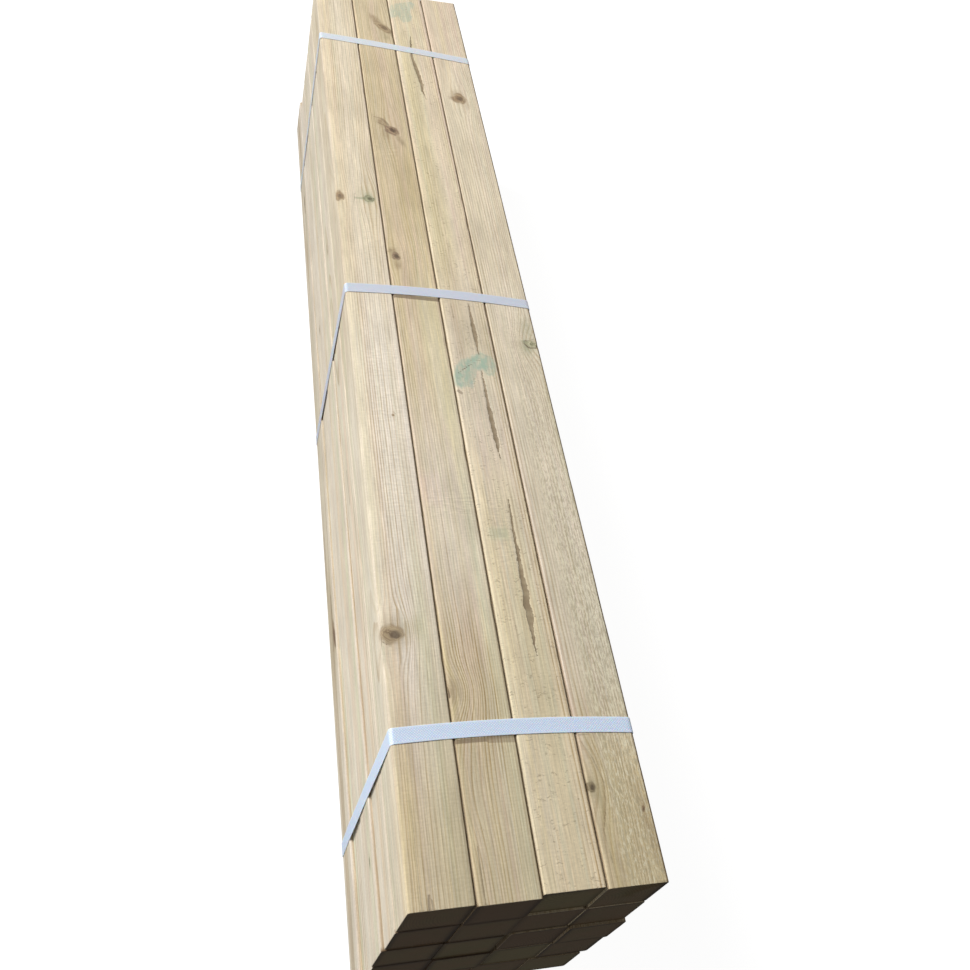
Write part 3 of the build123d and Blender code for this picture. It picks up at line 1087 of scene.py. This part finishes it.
# Noises drawn out along the grain: how fine across it and along it, in hills a metre, an offset
# to the post's seed, and how much detail and how rough
GRAIN_NOISES = {
    "torn": (900, 220, 0, 3, 0.6), "wobble": (45, 5, 0, 2, 0.5), "slow": (25, 2.2, 3, 1, 0.5),
    "broken": (500, 30, 4, 2, 0.5), "fine": (1000, 20, 0, 3, 0.6), "wide": (260, 8, 2, 2, 0.6),
    "cross": (130, 420, 6, 2, 0.6), "broad": (24, 9, 71, 3, 0.6), "spots": (600, 70, 5, 2, 0.5),
    "three": (90, 1.6, 57, 2, 0.6), "four": (150, 3.5, 91, 2, 0.6), "uneven": (230, 70, 81, 3, 0.7),
    "feather": (250, 42, 9, 4, 0.65), "cloud": (95, 38, 19, 3, 0.65), "bow": (160, 60, 40, 1, 0.5),
    "where": (80, 50, 43, 1, 0.5), "stripe": (55, 330, 47, 1, 0.5), "sway": (30, 55, 61, 2, 0.6),
    "ragged": (260, 120, 63, 3, 0.7),
}


def wood_material():
    """Planed pine: growth rings, fibres, colour bands, knots, stains, streaks and sawn ends."""
    s = Shader("post_wood_pine")
    rings, s.along, s.seed = s.attribute("grain")
    s.around, _, _ = s.attribute("place")
    lines, fuzz, yellow = s.attribute("zone")
    # The third number is the painted shade in the seams, along the outer right edge and behind the near end
    rough, end, painted_shade = s.attribute("rough_end_shade")
    late, ring_relief, strength = growth_rings(s, rings, lines)
    colour = colour_bands(s, rings, yellow)
    colour = s.mix(s.math("MINIMUM", s.times(late, strength), 1.0), colour, LATE_TINT, "MULTIPLY")
    colour, fibre = fibres(s, colour)
    colour = woolly_grain(s, colour, fuzz)
    colour = smudges(s, colour)
    colour, knot_relief = knots(s, colour)
    colour, mark_relief = marks(s, colour)
    colour, streak_relief = streaks_and_dark_lines(s, colour)
    # Painted shade: the seams, the outer right edge and the hidden sides near the near end are darkened,
    # darkest where the painted shade passes 1
    colour = s.mix(s.times(painted_shade, 0.85), colour, SHADE_BROWN)
    colour = s.mix(s.ramp(painted_shade, 0.95, 1.1), colour, END_DARK)
    colour = end_grain(s, colour, late, end)
    s.feed(s.surface.inputs["Base Color"], colour)
    s.surface.inputs["Specular IOR Level"].default_value = WOOD_GLOSS
    s.feed(s.surface.inputs["Roughness"], s.ramp(s.plus(rough, s.times(fibre, 0.5)), 0.0, 1.4, 0.6, 0.9))
    torn = s.grain("torn")
    relief = s.plus(s.times(ring_relief, RING_RELIEF), s.times(fibre, FIBRE_RELIEF))
    relief = s.plus(relief, s.times(torn, rough, TORN_RELIEF))
    relief = s.plus(relief, s.times(planer_ripple(s), RIPPLE_RELIEF))
    relief = s.plus(relief, s.plus(knot_relief, s.plus(mark_relief, streak_relief)))
    s.bump(relief)
    return s.material


def growth_rings(s, rings, lines):
    """Dark latewood lines that follow the rings, each of its own strength. Also their relief."""
    wobble = s.grain("wobble")
    phase = s.plus(rings, s.times(wobble, 0.45))
    part = s.math("FRACT", phase)
    late = s.times(s.ramp(part, 0.30, 0.86), s.fall(part, 0.92, 1.0))
    ring_number = s.plus(s.math("FLOOR", phase), s.times(s.seed, 37.0))
    which = s.node("ShaderNodeTexWhiteNoise", {"W": ring_number}, noise_dimensions="1D").outputs[0]
    slow = s.grain("slow")
    broken = s.grain("broken")
    strength = s.times(s.ramp(which, 0.0, 1.0, 0.35, 1.1), s.ramp(slow, 0.3, 0.65, 0.5, 1.0))
    strength = s.times(strength, s.ramp(broken, 0.3, 0.6, 0.6, 1.0))
    strength = s.times(strength, s.either(s.plus(lines, 0.75), 0.1))
    return late, s.times(late, strength), strength


def fibres(s, colour):
    """Fine light and dark streaks along the grain, faint marks across it, and short dark flecks."""
    fine = s.grain("fine")
    wide = s.grain("wide")
    cross = s.grain("cross")
    value = s.ramp(fine, 0.28, 0.72, 0.86, 1.12)
    value = s.times(value, s.ramp(wide, 0.25, 0.75, 0.92, 1.07), s.ramp(cross, 0.28, 0.72, 0.95, 1.045))
    broad = s.grain("broad")
    value = s.times(value, s.ramp(broad, 0.28, 0.72, 0.93, 1.06))
    colour = s.shaded(colour, value)
    spots = s.grain("spots")
    return s.mix(s.times(s.ramp(spots, 0.70, 0.80), 0.35), colour, KNOT_BROWN), fine


def colour_bands(s, rings, yellow):
    """Broad bands of cream, pink, yellow and green-grey that follow the grain, and the tints, in places
    partly painted light.
    """
    light, pink, green = s.attribute("tone")
    one = s.noise(s.times(rings, 0.33), s.times(s.along, 0.8), s.seed, 2.0, 0.6)
    two = s.noise(s.times(rings, 0.42), s.times(s.along, 0.7), s.plus(s.seed, 31.0), 2.0, 0.6)
    three = s.grain("three")
    colour = s.mix(s.capped(s.ramp(one, 0.42, 0.72, 0.0, 0.6), pink), CREAM, PINK)
    colour = s.mix(s.capped(s.ramp(two, 0.48, 0.70, 0.0, 0.5), yellow), colour, YELLOW)
    colour = s.mix(s.math("MULTIPLY", yellow, -1.0, clamp=True), colour, WHITISH)
    colour = s.mix(s.capped(s.ramp(three, 0.50, 0.74, 0.0, 0.42), green), colour, GREEN_GREY)
    four = s.grain("four")
    colour = s.mix(s.ramp(four, 0.52, 0.72, 0.0, 0.38), colour, WHITISH)
    light = s.plus(s.ramp(s.plus(one, two), 0.7, 1.3, -0.03, 0.04), light)
    return s.tinted(colour, [s.math("MULTIPLY_ADD", light, share, 1.0) for share in PALER])


def woolly_grain(s, colour, fuzz):
    """Raised, torn grain: wavy rows of short light and dark dashes that run along the post."""
    drift = s.noise(s.times(s.around, 14.0), s.times(s.along, 13.0), 3.0, 2.0, 0.5)
    wavy = s.plus(s.times(s.around, 400.0), s.plus(s.times(drift, 7.0), s.times(s.along, 6.0)))
    dash = s.noise(wavy, s.times(s.along, 88.0), 8.0, 2.0, 0.6)
    fleck = s.noise(s.times(wavy, 1.9), s.times(s.along, 150.0), 12.0, 2.0, 0.6)
    dark = s.either(s.ramp(dash, 0.49, 0.35), s.ramp(fleck, 0.46, 0.34, 0.0, 0.9))
    pale = s.either(s.ramp(dash, 0.53, 0.66), s.ramp(fleck, 0.56, 0.68, 0.0, 0.9))
    colour = s.mix(s.times(pale, fuzz, 0.85), colour, WOOL_PALE)
    return s.mix(s.times(dark, fuzz, 0.66), colour, WOOL_DARK)


def smudges(s, colour):
    """Soft brown and green patches, streaked along the grain."""
    brown, green, _ = s.attribute("smudge")
    uneven = s.grain("uneven")
    streaked = s.ramp(uneven, 0.32, 0.66, 0.40, 1.0)
    colour = s.mix(s.times(brown, streaked), colour, SMUDGE_BROWN)
    return s.mix(s.times(green, streaked), colour, HALO_GREEN)


def knots(s, colour):
    """Knots with curling strokes, a dark heart, a broken rim, a halo and tails. Also their relief."""
    x, y, weight = s.attribute("knot")
    dark, red, green = s.attribute("knot_look")
    left_tail, right_tail, heart = s.attribute("knot_more")
    own = s.plus(s.seed, s.times(dark, 9.0))
    x = s.plus(x, s.shift(s.noise(s.times(x, 0.8), s.times(y, 0.8), own), 0.6))
    y = s.plus(y, s.shift(s.noise(s.times(x, 0.9), s.times(y, 0.9), s.plus(own, 5.0)), 0.6))
    size = s.length(x, y)
    speckle = s.noise(s.times(x, 6.0), s.times(y, 6.0), s.seed, 3.0, 0.7)
    patchy = s.ramp(speckle, 0.3, 0.7, 0.45, 1.0)
    lopsided = s.noise(s.times(x, 1.1), s.times(y, 1.1), s.plus(own, 11.0), 1.0)
    edge = s.plus(size, s.shift(lopsided, 0.5))
    edge = s.plus(edge, s.shift(speckle, 0.35))
    body = s.times(s.fall(edge, 0.62, 1.20), weight)
    broken = s.ramp(lopsided, 0.60, 0.44, 0.25, 1.0)
    rim = s.times(s.ramp(edge, 0.66, 0.86), s.fall(edge, 0.92, 1.18), weight, patchy, broken)
    core = s.times(s.fall(s.length(s.minus(x, 0.2), s.plus(y, 0.08)), 0.22, 0.62), weight, heart)
    halo = s.times(s.fall(s.length(s.times(x, 0.62), s.times(y, 0.42)), 0.35, 1.0), weight)
    brown = s.mix(red, KNOT_BROWN, KNOT_RED)
    brown = s.mix(green, brown, KNOT_MOSS)
    curl = s.noise(s.times(size, 4.2), s.times(s.plus(x, y), 1.0), s.plus(own, 2.0), 2.0, 0.6)
    stroke = s.fall(s.size(s.minus(curl, 0.5)), 0.015, 0.085)
    inward = s.plus(s.times(dark, 0.9), s.times(s.minus(0.75, size), 0.55))
    depth = s.ramp(s.plus(inward, s.times(stroke, 0.42)), 0.2, 1.1)
    inside = s.mix(depth, s.mix(green, KNOT_TAN, GREEN_GREY), brown)
    inside = s.mix(s.ramp(speckle, 0.52, 0.74, 0.0, 0.45), inside, brown)
    inside = s.mix(s.times(core, 0.85), inside, KNOT_DARK)
    around_knot = s.mix(s.times(green, 0.9), HALO_BROWN, HALO_GREEN)
    colour = s.mix(s.times(halo, patchy, s.ramp(dark, 0.02, 0.8, 0.0, 0.6)), colour, around_knot)
    tail = s.times(tails(s, x, y, left_tail, right_tail), weight, patchy)
    colour = s.mix(s.times(tail, 0.75), colour, s.mix(s.times(green, 0.8), brown, HALO_GREEN))
    colour = s.mix(s.times(body, s.ramp(dark, 0.02, 0.35, 0.0, 0.92)), colour, inside)
    colour = s.mix(s.times(rim, s.ramp(dark, 0.05, 0.6, 0.0, 0.8)), colour, brown)
    return colour, s.times(rim, -KNOT_GROOVE)


def tails(s, x, y, left, right):
    """Narrow feathers that run out of a knot across the grain, to its left and its right."""
    out = s.fall(s.plus(s.size(y), s.times(s.size(x), 0.08)), 0.20, 0.72)
    to_right = s.times(s.math("GREATER_THAN", x, 0.0), s.fall(s.minus(x, right), -0.9, 0.0))
    to_left = s.times(s.math("LESS_THAN", x, 0.0), s.ramp(s.plus(x, left), 0.0, 0.9))
    has_right, has_left = s.math("GREATER_THAN", right, 0.05), s.math("GREATER_THAN", left, 0.05)
    return s.times(out, s.plus(s.times(to_right, has_right), s.times(to_left, has_left)))


def marks(s, colour):
    """Green stains, small cross marks and planer chatter. Also their relief."""
    stain, dashes, chattered = s.attribute("marks")
    feather = s.grain("feather")
    cloud = s.grain("cloud")
    depth = s.plus(stain, s.plus(s.shift(feather, 14.0), -0.6))
    soaked = s.times(s.ramp(depth, -3.0, 5.5), s.ramp(cloud, 0.36, 0.60, 0.30, 0.92))
    rim = s.times(s.ramp(depth, -2.5, 1.0), s.fall(depth, 1.5, 6.0), s.ramp(cloud, 0.62, 0.40, 0.1, 0.5))
    tint = s.mix(s.ramp(feather, 0.50, 0.66, 0.0, 0.75), STAIN_GREEN, STAIN_GREY)
    colour = s.mix(s.either(soaked, rim), colour, tint)
    bow = s.grain("bow")
    bowed = s.plus(s.times(s.along, 400.0), s.times(bow, 3.0))
    short = s.noise(s.times(s.around, 150.0), bowed, s.plus(s.seed, 41.0), 2.0, 0.6)
    where = s.grain("where")
    dash = s.times(s.ramp(short, 0.57, 0.66), s.ramp(where, 0.50, 0.58), dashes)
    colour = s.mix(s.times(dash, 0.48), colour, STREAK_BROWN)
    pale = s.times(s.ramp(short, 0.43, 0.34), s.ramp(where, 0.50, 0.58), dashes)
    colour = s.shaded(colour, s.math("MULTIPLY_ADD", pale, 0.10, 1.0))
    stripe = s.grain("stripe")
    worn = s.times(s.minus(s.ramp(stripe, 0.35, 0.65), 0.5), chattered)
    colour = s.shaded(colour, s.math("MULTIPLY_ADD", worn, 0.20, 1.0))
    return colour, s.plus(s.times(dash, -DASH_DEPTH), s.times(worn, CHATTER_RELIEF))


def streaks_and_dark_lines(s, colour):
    """Bared pith streaks with ragged edges, and thin dark lines. Also their relief."""
    offset, half, _ = s.attribute("streak")
    distance, line_half, line_darkness = s.attribute("dark_line")
    sway = s.grain("sway")
    ragged = s.grain("ragged")
    depth = s.minus(half, s.size(s.plus(offset, s.shift(sway, 3.4))))
    depth = s.plus(depth, s.shift(ragged, 5.5))
    bared = s.times(s.ramp(depth, -0.2, 0.35), s.math("GREATER_THAN", half, 0.05))
    edge = s.times(bared, s.fall(depth, 0.3, 1.3))
    colour = s.mix(s.times(bared, s.ramp(sway, 0.35, 0.6, 0.70, 0.92)), colour, STREAK_BROWN)
    colour = s.mix(s.times(edge, 0.35), colour, STREAK_DARK)
    inside = s.minus(line_half, s.plus(distance, s.shift(ragged, 1.6)))
    line_mark = s.times(s.ramp(inside, -0.5, 0.35), line_darkness)
    colour = s.mix(line_mark, colour, s.mix(line_darkness, KNOT_BROWN, KNOT_DARK))
    return colour, s.plus(s.times(bared, -STREAK_DEPTH), s.times(line_mark, -LINE_GROOVE_DEPTH))


def planer_ripple(s):
    """The faint even ripple that a planer's cutters leave across the post."""
    drift = s.noise(s.times(s.around, 12.0), s.times(s.along, 9.0), 0.0, 1.0)
    return s.math("SINE", s.plus(s.times(s.along, 1750.0), s.times(drift, 4.0)))


def end_grain(s, colour, late, end):
    """Sawn ends, darker than the sides because the cut fibres soak up light, and darker still as painted
    shade.
    """
    position = s.node("ShaderNodeNewGeometry").outputs["Position"]
    x, _, z = s.node("ShaderNodeSeparateXYZ", {0: position}).outputs
    saw = s.noise(s.times(x, 60.0), 0.0, s.times(z, 700.0), 3.0, 0.7)
    blotch = s.noise(s.times(x, 25.0), 0.0, s.times(z, 25.0), 3.0, 0.6)
    which = s.node("ShaderNodeTexWhiteNoise", {"W": s.seed}, noise_dimensions="1D").outputs[0]
    cut = s.mix(s.ramp(s.plus(s.times(blotch, 0.7), s.times(which, 0.5)), 0.4, 0.8), END_BROWN, END_GREY)
    cut = s.mix(s.times(late, 0.35), cut, END_DARK)
    cut = s.mix(s.ramp(saw, 0.45, 0.7, 0.0, 0.25), cut, END_DARK)
    cut = s.shaded(cut, s.ramp(which, 0.0, 1.0, 0.72, 1.22))
    # Painted shade: the sawn ends' dark rims beside the gaps between them
    rim = s.attribute("smudge")[2]
    cut = s.mix(s.times(rim, s.ramp(blotch, 0.3, 0.6, 0.7, 1.0)), cut, END_GAP_SHADE)
    return s.mix(s.ramp(end, 0.0, 0.12), colour, cut)


# Painted reflection: the white band's blue is the blue sky it reflects
STRAP_SKY_BLUE = (0.565, 0.68, 0.885)
STRAP_PALE = (0.86, 0.93, 0.985)
DIAMONDS = 1900.0
BORDER = (7.0 * MM, 8.4 * MM)


def strap_material():
    """Woven-look plastic band: white, blue-tinted by a painted reflection of the sky, with paler borders
    and pressed diamonds.
    """
    s = Shader("strap_plastic_band")
    reach, across, _ = s.attribute("place")
    one = s.math("SINE", s.times(s.plus(reach, across), DIAMONDS))
    two = s.math("SINE", s.times(s.minus(reach, across), DIAMONDS))
    diamond = s.times(s.plus(one, 1.0), s.plus(two, 1.0))
    border = s.ramp(s.size(across), *BORDER)
    pressed = s.times(s.ramp(diamond, 0.4, 2.2), s.minus(1.0, border))
    scuff = s.noise(s.times(reach, 120.0), s.times(across, 500.0), 0.0, 3.0, 0.6)
    colour = s.mix(s.plus(s.times(border, 0.45), s.times(pressed, 0.85)), STRAP_SKY_BLUE, STRAP_PALE)
    colour = s.mix(s.ramp(scuff, 0.5, 0.8, 0.0, 0.35), colour, STRAP_PALE)
    s.feed(s.surface.inputs["Base Color"], s.tinted(colour, s.attribute("tint")))
    s.feed(s.surface.inputs["Roughness"], s.ramp(scuff, 0.3, 0.8, 0.38, 0.55))
    s.surface.inputs["Subsurface Weight"].default_value = 0.15
    s.surface.inputs["Subsurface Scale"].default_value = 0.5 * MM
    s.bump(s.plus(s.times(pressed, 0.09), s.times(scuff, 0.02)))
    return s.material


# Scene round the object

FLOOR_HALF = 8.0
FLOOR_GLOW = 0.925
FLOOR_COLOUR = (0.22, 0.22, 0.22, 1.0)
SURROUND = 0.17
WHITE = (1.0, 1.0, 1.0, 1.0)

# Each lamp's name, place, target, size and watts
LAMPS = (
    ("key", (-2.5, 1.15, 2.9), (0.0, 0.0, 0.2), (2.0, 2.0), 190.0),
    ("left_glow", (-1.2, -0.75, 0.30), (0.0, -0.75, 0.22), (0.8, 0.5), 3.6),
    ("back_fill", (3.0, 1.8, 1.2), (0.0, 0.2, 0.2), (2.0, 1.6), 26.0),
)


def add_floor():
    """A plain pale floor under the bundle, that throws no light back at it."""
    h = FLOOR_HALF
    mesh = bpy.data.meshes.new("floor")
    mesh.from_pydata([(-h, -h, 0), (h, -h, 0), (h, h, 0), (-h, h, 0)], [], [(0, 1, 2, 3)])
    floor = bpy.data.objects.new("floor", mesh)
    bpy.context.scene.collection.objects.link(floor)
    s = Shader("floor_pale")
    s.surface.inputs["Base Color"].default_value = FLOOR_COLOUR
    s.surface.inputs["Roughness"].default_value = 0.9
    s.surface.inputs["Specular IOR Level"].default_value = 0.0
    s.surface.inputs["Emission Color"].default_value = WHITE
    s.surface.inputs["Emission Strength"].default_value = FLOOR_GLOW
    mesh.materials.append(s.material)
    floor.visible_diffuse = False
    floor.visible_glossy = False


def add_light(name, place, target, size, watts):
    """A soft rectangular lamp that faces its target."""
    data = bpy.data.lights.new(name, "AREA")
    data.shape = "RECTANGLE"
    data.size, data.size_y = size
    data.energy = watts
    lamp = bpy.data.objects.new(name, data)
    lamp.location = place
    lamp.rotation_euler = (Vector(target) - Vector(place)).to_track_quat("-Z", "Y").to_euler()
    lamp.visible_camera = False
    bpy.context.scene.collection.objects.link(lamp)


def add_world(strength):
    """An even white surround."""
    world = bpy.data.worlds.new("surround")
    bpy.context.scene.world = world
    world.use_nodes = True
    background = world.node_tree.nodes["Background"]
    background.inputs["Color"].default_value = WHITE
    background.inputs["Strength"].default_value = strength


def add_camera():
    """The camera, at the photograph's viewing angle."""
    data = bpy.data.cameras.new("camera")
    data.sensor_width = CAMERA_SENSOR
    data.lens = CAMERA_LENS
    data.clip_end = VIEW_DISTANCE
    camera = bpy.data.objects.new("camera", data)
    camera.location = CAMERA_PLACE
    camera.rotation_euler = [math.radians(a) for a in CAMERA_TURN]
    bpy.context.scene.collection.objects.link(camera)
    bpy.context.scene.camera = camera


wood = wood_material()
for row, column in POSTS:
    build_post(f"post_row{row}_col{column}", row, column).data.materials.append(wood)
plastic = strap_material()
for strap in STRAPS:
    build_strap(strap).data.materials.append(plastic)

add_floor()
add_world(SURROUND)
for lamp in LAMPS:
    add_light(*lamp)
add_camera()
bpy.context.scene.view_settings.view_transform = "Standard"
